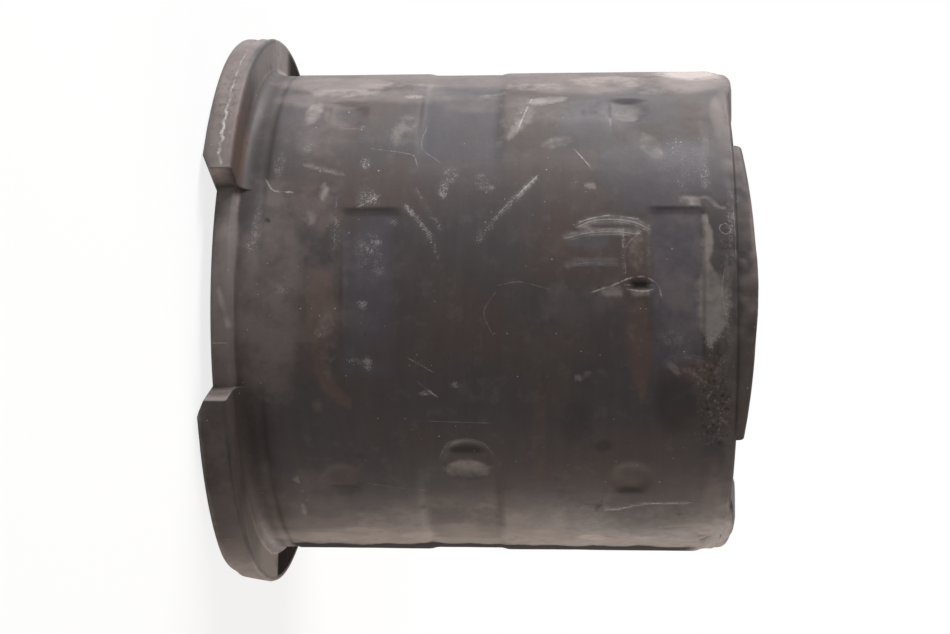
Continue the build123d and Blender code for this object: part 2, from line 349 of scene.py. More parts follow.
PALE_PATCHES = (
    # beside the first dimple
    (50, 11.9, 2.7, 1.1, 0.68, 8),
    # floor of the second dimple
    (49, 51.7, 2, 2.2, 0.34),
    # round the torn loop
    (3.9, 49.3, 0.7, 1.8, 0.45), (3.4, 52.7, 0.5, 1.3, 0.75),
    # low half of the vent: painted light on its lit lower wall
    (-36.9, 31.7, 1.45, 2.8, 0.75),
    # flakes below the neck
    (-39.8, 10.4, 0.7, 0.4, 0.75), (-43.4, 10.8, 0.6, 0.5, 0.5), (-50.3, 10.5, 1.5, 0.45, 0.85),
    # beside the slots
    (0, 52.2, 4.2, 1.5, 0.32), (-7, 15.2, 4.5, 1.6, 0.3),
    # high side
    (43.2, 23.8, 3.2, 1.9, 0.36, 8), (43.6, 37.6, 2.3, 0.6, 0.7, 20), (46, 38, 3.8, 1.7, 0.36, 24),
    (54.5, 41.4, 1.2, 2.8, 0.6, -12), (39, 42.9, 1.1, 2.3, 0.54, -15), (37.9, 54.2, 2.4, 1.4, 0.55, -28),
    # (43, 35.8) on the next line is painted light on the upper band's lit wall
    (43, 35.8, 4.4, 0.4, 0.35), (66, 50, 3, 6, 0.5), (62, 40, 1.6, 5, 0.45), (59.5, 15, 1.6, 5, 0.5),
    (64, 22, 2, 6, 0.4), (57.1, 24.4, 0.6, 1.4, 0.6), (74, 60.2, 4.4, 4.2, 1.4),
    (58.6, 55.2, 1.2, 2.4, 0.3), (88, 3.9, 5, 0.8, 1),
    # middle
    (26.2, 14.4, 1.5, 0.55, 0.6), (19.6, 12.9, 1.2, 0.8, 0.4), (27.2, 46.9, 0.6, 0.7, 0.55),
    (12.3, 52.3, 3.2, 1.2, 0.36), (23.2, 59.3, 0.7, 0.9, 0.6), (-12, 56.6, 0.5, 1.5, 0.5, 50),
    (-12.8, 58.6, 0.5, 1.3, 0.4, 20), (-14.1, 45.4, 0.45, 0.6, 0.6), (-13.2, 46.4, 0.4, 0.6, 0.5),
    (22, 2.6, 4, 1.8, 0.5),
    # low side
    # the long patches near turn -64 are partly dust and partly painted light along the low side
    (-63, 46.8, 1.6, 1.9, 0.8), (-65.8, 22, 2.6, 16, 1.12), (-65.8, 44, 2.6, 14, 1.08),
    (-61, 16, 1.4, 4, 0.5), (-60.5, 27, 1, 3, 0.4), (-54, 40.6, 4.6, 4.3, 0.5), (-65, 14, 2, 6.5, 1.2, 3),
    (-61.5, 18, 2, 3.4, 0.95, 10), (-63.6, 24.6, 1.9, 3.4, 1.3, -6), (-59.4, 30.2, 1.7, 3, 0.7, 8),
    (-64, 31, 1.9, 4.6, 1.15, 5), (-62.6, 39.5, 2, 4.6, 1, -5), (-63.8, 47.2, 1.5, 2.4, 1.45, 12),
    (-65.2, 53, 1.6, 4, 1.1), (-66, 57, 1.4, 3.6, 1), (-58, 61.5, 2.2, 1.6, 0.5), (-47.8, 40.4, 1, 3, 0.35),
    (-54, 33, 4.6, 2.8, 0.36), (-55.5, 21.8, 4.6, 4.6, 0.4), (-49.3, 49.6, 0.35, 0.9, 0.7),
)
STAINS = (
    # back edge of the lug above the gap
    (35, 3.7, 5, 0.9, 0.9), (45, 3.4, 5, 0.7, 0.6),
    # high side
    (33, 44, 3, 1.4, 0.3), (48, 5, 10, 1.6, 0.2),
    # middle
    (-20.7, 13.8, 1.1, 0.8, 0.5), (-14, 52.4, 1.5, 0.7, 0.6), (12.5, 52, 3.4, 1.3, 0.5),
    (-28, 40.6, 9, 1, 0.5), (-30, 38.6, 6, 0.5, 0.35), (22, 13.5, 4, 2.6, 0.4), (8, 13.5, 5, 2, 0.4),
    (-12.5, 58.5, 1.6, 2.4, 0.5), (17, 41.5, 4, 3, 0.25), (-21, 61.8, 4.4, 1.9, 0.25),
    (-13, 60, 1.6, 2.6, 0.7),
    # low side
    (-42, 62, 6, 1.8, 0.45), (-38.4, 16.1, 2.2, 2.4, 0.55), (-38.4, 51.5, 2.2, 2.4, 0.45),
    (-35, 31.7, 3, 3, 0.3), (-60, 15, 3, 6, 0.5), (-58, 31, 3, 5, 0.4),
)
COOL_FILMS = (
    # floor of the far slot
    (6, 57, 8.6, 2.7, 1),
    # two smears of the slanting scuffs
    (14.4, 46.6, 0.9, 2.8, 0.75), (9.8, 46.8, 0.5, 2.6, 0.85),
    # high side
    (52, 52, 5, 8, 0.5), (33, 57.5, 4, 4.6, 0.8), (30.5, 50.5, 4.6, 3, 0.5), (44, 46.5, 5, 4, 0.5),
    (49.4, 16.1, 2.3, 2.4, 0.5), (46, 11, 6, 3.4, 0.5),
    # middle
    (6, 20.5, 8.6, 2.9, 0.9), (13, 20, 2.6, 2.6, 0.7), (30, 30, 5, 6, 0.4), (27, 55, 4, 6, 0.6),
    (29, 60, 5, 4, 0.6), (-8, 20.4, 2.4, 2.6, 0.5), (18, 6.5, 8, 1.6, 0.5), (2, 8.8, 9, 2.2, 0.45),
)
GRIME_AND_SHADE = (
    # lens in the torn loop
    (5.2, 52.6, 0.62, 1.25, 0.75),
    # the slots' long sides: painted shade along their walls
    (5, 17.1, 10.5, 0.14, 0.42), (3, 23.65, 11, 0.16, 0.46), (5, 53.95, 10, 0.14, 0.42),
    (5, 60.1, 9.5, 0.16, 0.42),
    # high side
    # painted shade round the rims of the two high dimples, on this line and the next
    (54, 16.2, 0.6, 2.2, 0.4), (54, 51.7, 0.7, 2.4, 0.5), (49.6, 13.9, 1.6, 0.35, 0.2),
    (49.6, 18.6, 1.6, 0.35, 0.2), (49.8, 49.3, 1.7, 0.35, 0.22), (49.8, 54.1, 1.7, 0.35, 0.22),
    # (50, 25.8) is painted shade on the upper band's shaded wall; (46, 57) and (41, 41) are broad painted
    # shade on the high side
    (50, 25.8, 8, 0.22, 0.45), (46, 57, 5, 6, 0.2), (37, 6.4, 8, 1.8, 0.34), (41, 41, 3, 11, 0.16),
    (43, 12, 6, 2.4, 0.1), (42, 6.4, 8, 1.4, 0.12),
    # middle
    # (21.7, 20.3) and (21.8, 57) are painted shade at the slots' high walls
    (21.7, 20.3, 0.3, 3.1, 0.4), (21.8, 57, 0.3, 2.9, 0.45), (17, 57, 1.6, 2.7, 0.14),
    (-29.8, 48.2, 0.9, 1.2, 0.35), (-20, 57, 4, 2.8, 0.3), (-24, 45, 3, 2, 0.2),
    (19.5, 7.8, 0.35, 0.35, 0.8),
    # low side
    # painted shade: (-31.4, 31.7) in the vent's high wall, (-42.5, 51.7) and (-42, 16.3) below the low
    # dimples, and (-50, 54.5) on the next line broadly
    (-31.4, 31.7, 0.7, 2.5, 0.5), (-42.5, 51.7, 0.5, 2.1, 0.4), (-42, 16.3, 0.4, 1.8, 0.3),
    (-50, 54.5, 6, 6, 0.16),
)
CHALKY = (
    # pitted corner of the plain end
    (-20.5, 61.8, 4.2, 1.6, 0.16), (-15, 60.6, 2.4, 1.7, 0.2), (-25.5, 62.3, 1.7, 1.1, 0.16),
    # high side
    (38, 12, 1, 1.2, 0.3), (32, 47, 0.6, 0.8, 0.4), (33, 8.6, 2.4, 0.8, 0.4), (33.3, 19.3, 1.1, 0.7, 0.5),
    (33.6, 57.5, 5, 3, 0.3),
    # middle
    (26.3, 29, 1.4, 0.8, 0.6), (30, 29.8, 1.6, 1.2, 0.4), (-17.4, 27, 0.3, 0.9, 0.7),
    (-15.4, 30.4, 0.3, 0.5, 0.6), (-20.5, 13.9, 0.7, 0.5, 0.5), (12, 20.2, 3.2, 1.9, 0.36),
    (9, 21.4, 1, 0.9, 0.4), (19, 23.2, 0.5, 0.7, 0.5), (28.5, 33.5, 1.4, 1, 0.4),
    (26.8, 34.6, 0.7, 0.7, 0.5), (0, 52, 0.5, 1.6, 0.3), (24, 20, 1.6, 1.6, 0.5),
    (1.1, 19.6, 0.7, 0.7, 0.6), (17.6, 6.6, 3.8, 0.8, 0.36, 6), (17.5, 16.1, 4.4, 0.5, 0.5),
    (4.5, 9.9, 0.8, 1.3, 0.45), (-11.2, 20.2, 1, 0.8, 0.6), (-10.6, 18.8, 0.5, 1.4, 0.45),
    (-5.3, 14.6, 0.7, 0.8, 0.5), (-15.7, 30.6, 0.5, 0.7, 0.5), (14, 5.9, 0.9, 0.9, 0.6),
    (30, 60.5, 2.4, 0.8, 0.5), (13.5, 50.7, 3, 0.35, 0.5), (14, 53.6, 3.2, 0.4, 0.4),
    (-6, 57, 1.4, 2, 0.35), (-11, 62.4, 3, 0.8, 0.35), (19, 63.4, 6, 0.3, 0.5), (-1, 63, 4, 0.5, 0.4),
    (-6, 60.8, 1.2, 0.8, 0.5),
)
PITTED = (
    # high side
    (46, 2, 7, 1.2, 0.4),
    # middle
    (-21, 61.6, 4.6, 1.9, 1), (-13.6, 60.3, 1.6, 1.9, 0.8), (-26.4, 62.3, 1.8, 1.1, 0.8),
    (-8, 62, 3, 1.2, 0.5), (12, 62.8, 6, 0.8, 0.4),
)
# a wider film of dust
DUSTY = (
    # high side
    # the long bands on this side are partly dust and partly painted light
    (58, 24, 2.6, 10, 0.5), (66, 14, 4, 8, 0.8), (63, 46, 3.4, 8, 0.7), (66, 60, 5, 5, 0.9),
    (56, 13, 2.6, 7, 0.6), (44, 13, 5, 4, 0.4), (54, 34, 2.4, 6, 0.4), (48, 62.6, 5, 0.9, 0.6),
    # middle
    (4, 8.2, 14, 4.6, 0.55), (8, 14, 12, 5, 0.3), (6, 57.5, 9, 5, 0.42), (6, 42, 8, 6, 0.15),
    (14, 3.2, 7, 1.2, 1), (7, 20.3, 7, 2.6, 0.22), (7, 48, 5, 3, 0.2), (6, 62.8, 3, 0.6, 0.6),
    # low side
    # the long bands at -64 and -56 are partly dust and partly painted light along the low side
    (-64, 28, 4, 24, 1.1), (-56, 18, 4, 14, 0.45), (-45, 12, 5, 5, 0.35), (-50, 31, 4, 14, 0.3),
    (-48, 6.6, 8, 1.6, 0.4), (-50, 62, 9, 1.4, 0.5),
)
# marks with straight edges: turn from and to, height from and to, softness of the edge, strength
# the floors of the two slots and of the upper band
COOL_BOXES = (
    (-14.5, 21.8, 16.9, 23.6, 0.3, 0.52), (-12.6, 21.8, 53.9, 60.1, 0.3, 0.8),
    (33.6, 66, 25.7, 35.9, 0.35, 0.66),
)
GRIME_BOXES = (
    (33.6, 56, 25.7, 35.9, 0.35, 0.17), (-58, -50, 26, 35.4, 0.5, 0.1), (-66, -49.5, 26.4, 35.4, 0.3, 0.16),
    (-55, 21, 60.1, 62.4, 0.3, 0.08),
)
# dust that stops at the lower band's edges
PALE_BOXES = (
    (-66, -48.4, 35.9, 44, 0.3, 0.5), (-66, -51, 17, 26, 0.3, 0.42),
)
# bands round the skin: strength, then turn, middle height and half width of points along each
PALE_RIBBONS = (
    (0.85, ((20.7, 60.3, 0.2), (17.1, 60.6, 0.6), (13.5, 60.6, 0.8), (10.1, 60.4, 0.5), (6.7, 60.9, 1.3),
         (3.4, 61.2, 1.8), (0.1, 61.3, 1.9), (-3.2, 61.1, 1.7), (-4.8, 61, 1), (-7.4, 60.8, 0.3))),
)
STAIN_RIBBONS = (
    (0.85, ((9, 14.6, 0.8), (4, 14.5, 2.2), (-2, 14.5, 2.2), (-8, 14.3, 1.2), (-13, 14.5, 0.9),
         (-16, 15.4, 1.2), (-19, 16.9, 1.4), (-21, 17.6, 0.4))),
    (0.75, ((2.6, 52.6, 0.8), (-1, 52.6, 1.6), (-10, 52.5, 1.7), (-14, 52.8, 1.1), (-18, 52.9, 0.5),
         (-20, 52.9, 0.1))),
)
CHALK_STROKES = (
    (0.8, 0.62, 22.5, 24.6, 15.5, 27.7), (0.6, 0.45, 15.5, 27.7, 11.1, 28.6),
    (0.7, 0.45, 26.3, 25.7, 22.7, 26.9, 17.4, 28.8), (0.7, 0.7, 27, 39.1, 23, 37.1),
    (1, 0.5, 24, 37.5, 20.1, 35.6, 14.8, 33.3), (0.6, 0.5, 24.3, 19, 23.6, 21.3),
    (0.4, 0.6, 14.8, 19.8, 14.6, 21.6), (0.4, 0.6, 12.9, 20, 12.3, 21.6),
)
PALE_STROKES = (
    (0.5, 0.75, -57.1, 55.9, -56, 60.2), (0.5, 0.6, 23.8, 57.5, 24.4, 60.4, 22.2, 61.9, 21.5, 63),
    (0.7, 0.7, 4.4, 2.4, -3.1, 3.5), (0.35, 0.5, 46.8, 49.4, 43, 49.3, 40.2, 49.8),
    (0.35, 0.45, 46.6, 53.6, 42.5, 53.4, 39.4, 52.9), (0.5, 0.4, 44.6, 14.6, 43.9, 16.6, 44.4, 18.6),
)
# rubbed places with parallel streaks: half width, strength, points
SCUFFS = (
    (0.3, 0.8, 29, 40.1, 24.5, 38), (0.35, 0.6, 32.9, 12, 31.9, 14, 30.4, 16.4),
    (0.6, 0.75, 17.8, 45.5, 19.1, 47.3, 19.3, 49.7, 18.6, 52.1, 17.5, 53.4),
    (0.45, 0.8, 15.4, 43.9, 16.5, 46.5, 16.7, 49.5, 16.3, 52.5),
    (0.5, 0.45, 9.6, 44.1, 10.2, 46.7, 10, 49.6),
    (0.35, 0.8, -49.4, 49, -48.9, 50.6, -47, 53.7, -46.5, 58.9),
    (0.5, 0.3, -11, 55.6, -9.6, 57.4, -10.4, 60.2), (0.8, 0.4, -58.5, 53.5, -59.8, 58.5),
    (0.5, 0.4, 58.5, 36, 57.5, 33), (0.6, 0.3, 45, 60.5, 38, 60.8, 32, 60.2),
)
# thin lines: width, strength, points
LINES = (
    (0.15, 0.8, 29.3, 40.2, 24.9, 38), (0.12, 0.35, 23.9, 37.3, 19.1, 35.1),
    (0.14, 0.8, 36.6, 45, 32.2, 46.7), (0.12, 0.5, 37.3, 20.4, 35.8, 24.7, 33.8, 25.5),
    (0.16, 0.7, 44, 38, 54.5, 39.4), (0.2, 0.9, 28.4, 7.4, 26.4, 8.2, 26, 10),
    (0.16, 0.7, 22.8, 19.2, 24.6, 20.9), (0.12, 0.9, 19, 46, 20.2, 49, 19.5, 52),
    (0.2, 0.8, 4, 47.4, 5.4, 49.7, 6.7, 51.5, 6.9, 53.2, 5.5, 54.6, 3.8, 55),
    (0.16, 0.8, 4.2, 51.6, 3.9, 53, 4.3, 54), (0.12, 0.45, 17.5, 53.4, 13.4, 51, 8.7, 50.9),
    (0.2, 0.85, -49.4, 49.2, -48.9, 50.6, -47, 53.7, -46.5, 58.9), (0.1, 0.35, -23.9, 26.3, -24.3, 34.1),
    (0.12, 0.7, -10.4, 25.5, -12.3, 27.4), (0.22, 0.95, -16, 26.8, -17.6, 27.9),
    # painted highlight along the vent's high rim
    (0.14, 0.3, -32, 28.7, -29.2, 29.6, -28.2, 31.6, -29, 33.6, -31.2, 34.7),
    (0.12, 0.3, 5.3, 36.1, 5.9, 38.4, 4.6, 41.4), (0.12, 0.3, 3, 35.2, -0.5, 34.1, -4.4, 35),
    (0.12, 0.6, 24, 63.7, 13, 63.9), (0.14, 0.8, -6.7, 1.9, -6.7, 2.7),
    (0.12, 0.6, 18.2, 62.6, 17.6, 62, 16.4, 62.2, 15.9, 62.9, 16.6, 63.4, 17.7, 63.2),
    (0.1, 0.35, -41, 20, -43, 26), (0.1, 0.4, 44, 26.4, 38, 26, 34.2, 28),
    (0.12, 0.4, 8, 62.5, 3.5, 62.2, -2.5, 62.9),
    # a chalk line on the lug above the gap
    (0.2, 0.6, 63.4, 2.3, 60, 2.42, 57, 2.3, 54, 2.38, 51, 2.3, 48.5, 2.42),
    (0.26, 0.85, 47.5, 2.33, 45.5, 2.2, 43.5, 2.42, 41.5, 2.25),
    (0.34, 1.2, 40.8, 2.2, 39, 2.42, 37.5, 2.2, 36, 2.4, 34.7, 2.2, 33.5, 2.45),
    (0.34, 1.2, 31.8, 2.25, 30.8, 2.42, 29.8, 2.2, 28.9, 2.4, 28.1, 2.6),
)


def patch(turn, z, middle, height, around, along, strength, lean=0):
    """Field of a round mark that fades over its edge."""
    a, b = (turn - middle) * ARC, z - height
    c, s = math.cos(math.radians(lean)), math.sin(math.radians(lean))
    return strength * smooth(1.35, 0.6, np.hypot((a * c + b * s) / around, (b * c - a * s) / along))


def box(turn, z, first, last, low, high, soft, strength):
    """Field of a mark with straight edges."""
    inside = smooth(first - 0.8, first + 0.8, turn) * smooth(last + 0.8, last - 0.8, turn)
    return strength * (inside * smooth(low - soft, low + soft, z) * smooth(high + soft, high - soft, z))


def ribbon(turn, z, strength, points):
    """Field of a band round the skin."""
    turns, middles, halves = zip(*sorted(points))
    half = np.interp(turn, turns, halves, left=0.02, right=0.02)
    away = np.abs(z - np.interp(turn, turns, middles)) / half
    ends = smooth(turns[0] - 0.5, turns[0] + 0.5, turn) * smooth(turns[-1] + 0.5, turns[-1] - 0.5, turn)
    return strength * smooth(1.5, 0.4, away) * ends


def curved(points, steps=4):
    """The same stroke with smooth bends: points on a curve through the given ones."""
    if len(points) < 3:
        return points
    ends = [points[0], *points, points[-1]]
    result = []
    for p, a, b, q in zip(ends, ends[1:], ends[2:], ends[3:]):
        for k in range(steps):
            t = k / steps
            result.append(tuple(
                a[i] + t * (b[i] - p[i]) / 2 + t * t * (p[i] - 2.5 * a[i] + 2 * b[i] - q[i] / 2)
                + t**3 * (1.5 * (a[i] - b[i]) + (q[i] - p[i]) / 2) for i in (0, 1)))
    return [*result, points[-1]]


def pieces(turn, z, places):
    """Distance from each straight piece of a stroke, and distance to the side of its line, in mm."""
    points = curved(list(zip(places[::2], places[1::2])))
    for a, b in zip(points, points[1:]):
        ax, ay, bx, by = a[0] * ARC, a[1], b[0] * ARC, b[1]
        length = math.hypot(bx - ax, by - ay)
        ux, uy = (bx - ax) / length, (by - ay) / length
        px, py = turn * ARC - ax, z - ay
        t = np.clip(px * ux + py * uy, 0, length)
        yield np.hypot(px - t * ux, py - t * uy), py * ux - px * uy


def stroke(turn, z, width, strength, *places):
    """Field of a soft stroke."""
    return most(*(strength * smooth(0.95, 0.1, away / width) for away, _ in pieces(turn, z, places)))


def scuff(number, width, away, across):
    """Distance in widths, place across in mm, shifted for each scuff, and share of the strength."""
    return away / width, across + 3.0 * number, smooth(1.25, 0.35, away / width)


def thin_line(_, width, away, across):
    """Distance in mm, place across the line in half widths, and share of the strength."""
    return away, across / (width / 2), smooth(0.75, 0.35, away)


def nearest_fields(turn, z, strokes, measure, far):
    """Of the nearest stroke: the place across it, or far where none is near, and its strength."""
    nearest, side, power = np.full_like(turn, 9.0), np.full_like(turn, far), np.zeros_like(turn)
    for number, (width, strength, *places) in enumerate(strokes):
        for piece in pieces(turn, z, places):
            away, across, share = measure(number, width, *piece)
            closer = away < nearest
            nearest = np.where(closer, away, nearest)
            side = np.where(closer, across, side)
            power = np.where(closer, strength * share, power)
    return side, power


# ---- the rubber moulding ----

OUTER_ROWS = ("skin", "rim", "neck", "back_face", "back_edge", "lug_face", "front_edge")
VOID_LEVELS = 10
SHARP_ANGLE = 48
# painted shade: past these turns the lugs' backs lie in the body's shadow and take the dark matt material
SHADED_FROM, SHADED_BELOW = 97.0, -84.6  # turns past which the lugs' backs stay dark


class Surface:
    """The points of the rubber's mesh by turn and height, with masks of the parts where wear differs."""

    def __init__(self, turn, z, names, lug):
        self.turn, self.z, self.names, self.lug = turn, z, names, lug
        self.outer = self.on(*OUTER_ROWS)
        # colour from wear, dirt, painted light and painted shade ends at the plain end's rim
        rim = np.where(z < 30, 1.0, smooth(64.35, 64.2, z) + self.on("rim"))
        self.shown = np.clip(self.outer * rim, 0, 1)
        self.face, self.back = self.on("lug_face", "front_edge", "back_edge"), self.on("back_face")
        self.flange = smooth(4.4, 3.9, z)
        # the walls where a lug ends, and those that face up in the photograph's view
        self.end = smooth(0.0, 0.08, lug) * smooth(1.0, 0.93, lug) * self.flange
        self.high_end = self.end * (turn > 0)

    def on(self, *names):
        """1 on the rows with these names, 0 elsewhere."""
        return np.isin(self.names, names) + 0.0 * self.z

    def marks(self, kind, places):
        """Strongest of the marks of this kind at each point."""
        return most(*(kind(self.turn, self.z, *place) for place in places))


def pale_field(s):
    """Rubbed and powdery places, and painted light on the low lug's back and the high lug's end wall."""
    turn, z = s.turn, s.z
    face = s.face * (0.8 * smooth(-46, -70, turn) + 0.3 * smooth(58, 72, turn))
    # painted light: the low lug's back is lightened where it turns away from the lamps
    lug = face + s.back * 1.7 * smooth(-44, -72, turn)
    lug += s.back * 0.7 * smooth(72, 80, turn) + 0.5 * s.face * smooth(0.9, 0.5, z) * smooth(-14, -20, turn)
    # painted light: the high lug's end wall is lightened as if lit
    lug = lerp(lug, 1.5 * smooth(3.9, 0.8, z), s.high_end) * s.lug
    rim = 0.8 * smooth(61.4, 63.0, z) * smooth(-64, -72, turn)
    return most(s.marks(patch, PALE_PATCHES), s.marks(stroke, PALE_STROKES),
                s.marks(ribbon, PALE_RIBBONS), s.marks(box, PALE_BOXES), lug, rim) * s.shown


def dust_and_light_field(s):
    """A film of dust on the lugs, the collar and the plain end's rim, lighter bands on the high and low sides
    that are partly dust and partly painted light, and painted light on the high lug's end wall.
    """
    turn, z = s.turn, s.z
    # bands along the high and low sides, partly dust and partly painted light
    high = 0.55 * smooth(56, 64, turn) * smooth(110, 92, turn) * smooth(5.5, 9, z)
    low = 0.6 * smooth(-60, -68, turn) * smooth(-78, -71, turn) * smooth(6, 10, z)
    rim = 0.34 * smooth(62.0, 63.6, z)
    face = lerp(0.3, 0.75, smooth(22, 34, turn)) + 0.8 * smooth(-42, -66, turn)
    back = s.back * lerp(0.1, 1.2, smooth(44, 72, turn) + smooth(-34, -56, turn))
    dust_and_light = most(high, low, rim, s.marks(patch, DUSTY), s.face * face * smooth(4.1, 3.2, z), back)
    high_end, low_end = lerp(1.3, 0.35, smooth(1.2, 3.6, z)), lerp(0.25, 1.1, smooth(0.55, 0.9, s.lug))
    # painted light: the high lug's end wall is lightened as if lit
    dust_and_light = lerp(dust_and_light, np.where(turn > 0, high_end, low_end), s.end)
    collar, stop = s.flange * (1 - s.lug) * 0.85, 0.9 * smooth(65.3, 66.1, z) * smooth(0, 14, turn)
    return most(dust_and_light, collar, stop) * s.shown


def grime_and_shade_field(s):
    """Dark dirt, and painted shade in the neck, at the foot of the lugs' end walls, on the lugs' far backs
    where the body's shadow falls and in the step of the rim; also a dark line along the low lug's back edge.
    """
    turn, z = s.turn, s.z
    neck = 0.25 * smooth(3.9, 4.3, z) * smooth(9.5, 7.0, z) * smooth(-12, -28, turn) * smooth(-66, -50, turn)
    foot = 0.75 * s.end * smooth(0.2, 0.02, s.lug)
    edge_line = smooth(0.3, 0.0, np.abs(z - 3.7)) * smooth(-22, -26, turn) * smooth(-60, -52, turn)
    far = np.clip(smooth(92.0, 97.5, turn) + smooth(-83.5, -85.0, turn), 0, 1) * s.back
    step = smooth(0.25, 0.0, np.abs(z - 64.15)) * smooth(34, 28, np.abs(turn - 4.5))
    return most(s.marks(patch, GRIME_AND_SHADE), s.marks(box, GRIME_BOXES), neck, foot, 0.4 * s.face * s.lug * edge_line,
                0.95 * far, 0.5 * step) * s.shown


def painted_underside_shade_field(s):
    """Painted shade along the underside, ragged where it starts and fading unevenly on its far side."""
    turn, z = s.turn, s.z
    ragged = turn + 0.6 * np.sin(0.45 * z) + 0.5 * np.sin(1.1 * z + 2.0)
    faded = turn + 4.0 * np.sin(0.23 * z) + 2.5 * np.sin(0.71 * z + 1.0)
    painted_underside_shade = 1.25 * smooth(-69.7, -72.6, ragged) * smooth(-98, -78, faded)
    return painted_underside_shade * smooth(4.4, 9.5, z) * smooth(62.8, 56.0, z) * s.shown


def wear_and_painted_light_fields(s):
    """How strongly each kind of wear, dirt, painted light and painted shade shows at each point."""
    turn, z, shown = s.turn, s.z, s.shown
    stain = most(s.marks(patch, STAINS), s.marks(ribbon, STAIN_RIBBONS)) * shown
    scuff_side, scuff_power = nearest_fields(turn, z, SCUFFS, scuff, 0.0)
    line_side, line_power = nearest_fields(turn, z, LINES, thin_line, 9.0)
    return {
        "pale": pale_field(s),
        "stain": most(stain, s.high_end),
        "cool": most(s.marks(patch, COOL_FILMS), s.marks(box, COOL_BOXES)) * shown,
        "pitted": s.marks(patch, PITTED) * shown,
        "chalk": most(s.marks(patch, CHALKY), s.marks(stroke, CHALK_STROKES)) * shown,
        "painted_light_end": s.high_end * smooth(4.2, 0.9, z) * s.lug * shown,
        "dust_and_light": dust_and_light_field(s),
        "painted_underside_shade": painted_underside_shade_field(s),
        "grime_and_shade": grime_and_shade_field(s),
        "scuff_side": scuff_side,
        "scuff_power": scuff_power * shown,
        "line_side": line_side,
        "line_power": line_power * shown,
    }


def wear_relief(co, s, fields):
    """Small losses and swellings of the outer rows, in mm along the radius."""
    turn, z = s.turn, s.z
    slow, fine, grit = (noise(co.reshape(-1, 3), size, seed, octaves).reshape(turn.shape)
                        for size, seed, octaves in ((7.5, 11, 2), (1.9, 23, 3), (0.9, 37, 2)))
    up = 0.045 * slow + 0.012 * fine - 0.06
    up -= 0.05 * fields["pale"] * (1 + fine)
    up -= 0.2 * fields["pitted"] * np.clip(grit + 0.2, 0, 1)
    # the torn loop's lip and lens
    up += 0.14 * patch(turn, z, 3.7, 52.7, 0.7, 1.5, 1)
    up -= 0.34 * patch(turn, z, 5.3, 52.7, 0.55, 1.2, 1)
    # the plain end's rim and its low and high corners
    rim = smooth(62.6, 63.9, z)
    up -= rim * 0.22 * np.clip(fine + 0.5 * slow + 0.1, 0, 1)
    up -= rim * 0.3 * smooth(13, 9, np.abs(turn - 2)) * np.clip(grit + 0.3, 0, 1)
    low_corner = smooth(-54, -68, turn) * smooth(-90, -80, turn) * (z < 64.15)
    up -= 1.05 * smooth(61.0, 64.1, z) * low_corner
    up -= 0.25 * smooth(62.6, 64.0, z) * smooth(64, 72, turn) * smooth(100, 90, turn)
    # two grooves, a nub and two nicks on the lugs
    lug_face = s.face * s.lug
    up -= lug_face * 0.12 * smooth(0.55, 0.0, np.abs(z - 3.05)) * smooth(48, 66, turn)
    up -= lug_face * 0.42 * smooth(0.6, 0.0, np.abs(z - 1.65)) * smooth(66, 74, turn)
    up += 0.3 * patch(turn, z, -18.8, 1, 0.5, 0.6, 1) * s.face
    for strength, middle, height in ((0.22, 43.5, 0.9), (0.2, 39.8, 2.2)):
        up -= lug_face * strength * smooth(0.5, 0.0, np.hypot((turn - middle) * 0.66, z - height))
    up -= s.face * 0.1 * np.clip(fine + slow - 0.1, 0, 1)
    return up * s.outer


def points_at(rho, angle, z):
    return np.stack([rho * np.cos(angle), rho * np.sin(angle), z], axis=-1)


def skin_faces(index, in_void, void_rows):
    """Quads between neighbouring columns, left out where a void opens in a dish."""
    beside = np.roll(index, -1, axis=0)
    quads = np.stack([index, beside, np.roll(beside, -1, axis=1), np.roll(index, -1, axis=1)], axis=2)
    keep = np.ones(index.shape, bool)
    keep[np.ix_(in_void & np.roll(in_void, -1), np.minimum(*void_rows))] = False
    return quads[keep]


def add_void_walls(points, faces, th, index, void_rows):
    """Walls of the two voids, from the plain end's floor down to the front's."""
    skin = points[0]
    for gap in (-90, 90):
        run = np.flatnonzero(np.abs(angle_from(th, gap)) <= VOID_HALF + 1e-6)
        walls = []
        for top_row, low_row in void_rows:
            top, low = index[run, top_row], index[run, low_row]
            levels = [top]
            for k in range(1, VOID_LEVELS):
                start = sum(len(p) for p in points)
                levels.append(np.arange(start, start + len(top)))
                points.append(lerp(skin[top], skin[low], k / VOID_LEVELS))
            walls.append([*levels, low])
        outer, inner = walls
        for up, low in zip(outer, outer[1:]):
            faces.append(np.stack([up[:-1], up[1:], low[1:], low[:-1]], axis=1))
        for up, low in zip(inner, inner[1:]):
            faces.append(np.stack([up[1:], up[:-1], low[:-1], low[1:]], axis=1))
        for k in range(VOID_LEVELS):
            for e, way in ((0, 1), (-1, -1)):
                faces.append(np.array([[outer[k][e], outer[k + 1][e], inner[k + 1][e], inner[k][e]][::way]]))


